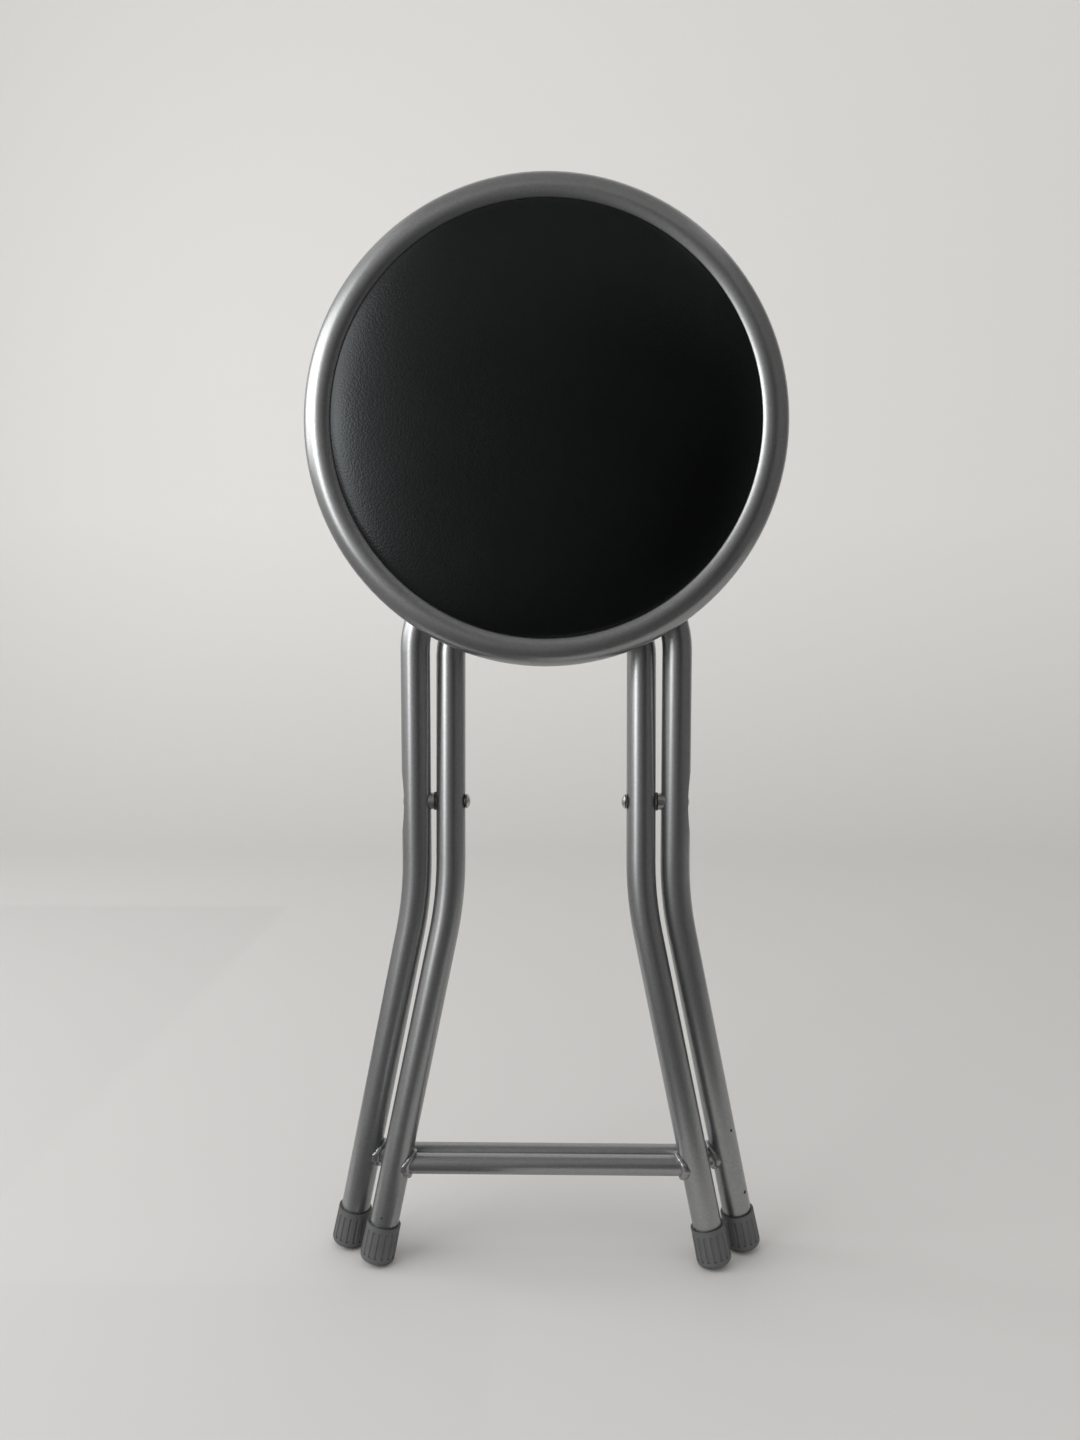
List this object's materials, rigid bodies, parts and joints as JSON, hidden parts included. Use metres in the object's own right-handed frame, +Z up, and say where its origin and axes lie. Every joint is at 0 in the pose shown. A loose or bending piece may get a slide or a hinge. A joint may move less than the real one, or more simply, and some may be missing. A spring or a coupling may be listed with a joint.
{
  "type": "folding stool",
  "caption": "Round padded folding stool: leatherette pad in a steel tube ring on two crossed bent tube frames with ribbed foot caps, folded upright; legs and seat fold together.",
  "frame": {"origin": "on the floor, under the middle of the folded stool's box", "axes": "+Z up along the outer frame, +X to the right facing the pad, +Y to the back, away from the pad"},
  "size_m": [0.298, 0.0676, 0.6885],
  "materials": {
    "painted_tube": "satin",
    "zinc_steel": "satin",
    "bracket_steel": "satin",
    "cap_plastic": "matte",
    "black_nylon": "satin",
    "leatherette": "satin",
    "foam": "matte",
    "board": "matte"
  },
  "bodies": {
    "outer_frame": {"outer_leg_tube": "painted_tube", "outer_crossbar": "painted_tube", "outer_weld_beads": "painted_tube", "head_washers": "black_nylon", "gap_washers": "black_nylon", "outer_foot_left": "cap_plastic", "pivot_rivet_left": "zinc_steel", "pivot_spacer_left": "painted_tube", "outer_foot_right": "cap_plastic", "pivot_rivet_right": "zinc_steel", "pivot_spacer_right": "painted_tube"},
    "inner_frame": {"inner_leg_tube": "painted_tube", "inner_crossbar": "painted_tube", "inner_weld_beads": "painted_tube", "inner_foot_left": "cap_plastic", "inner_foot_right": "cap_plastic"},
    "seat": {"seat_ring": "painted_tube", "seat_board": "board", "seat_foam": "foam", "seat_cover": "leatherette", "cover_staples": "zinc_steel", "board_screws": "zinc_steel", "saddle_rivets": "zinc_steel", "catch_screws": "zinc_steel", "seat_rail_left": "bracket_steel", "hinge_saddle_left": "bracket_steel", "catch_left": "black_nylon", "seat_rail_right": "bracket_steel", "hinge_saddle_right": "bracket_steel", "catch_right": "black_nylon"}
  },
  "joints": [
    {"name": "leg_fold", "type": "hinge", "parent": "outer_frame", "child": "inner_frame", "pos_m": [0, 0.00716, 0.30214], "axis": [-1, 0, 0], "range_deg": [0, 48.07]},
    {"name": "seat_fold", "type": "hinge", "parent": "outer_frame", "child": "seat", "pos_m": [0, 0.00716, 0.46014], "axis": [-1, 0, 0], "range_deg": [0, 116.01]}
  ],
  "couplings": [
    {"joint": "seat_fold", "follows": "leg_fold", "ratio": 2.413}
  ]
}
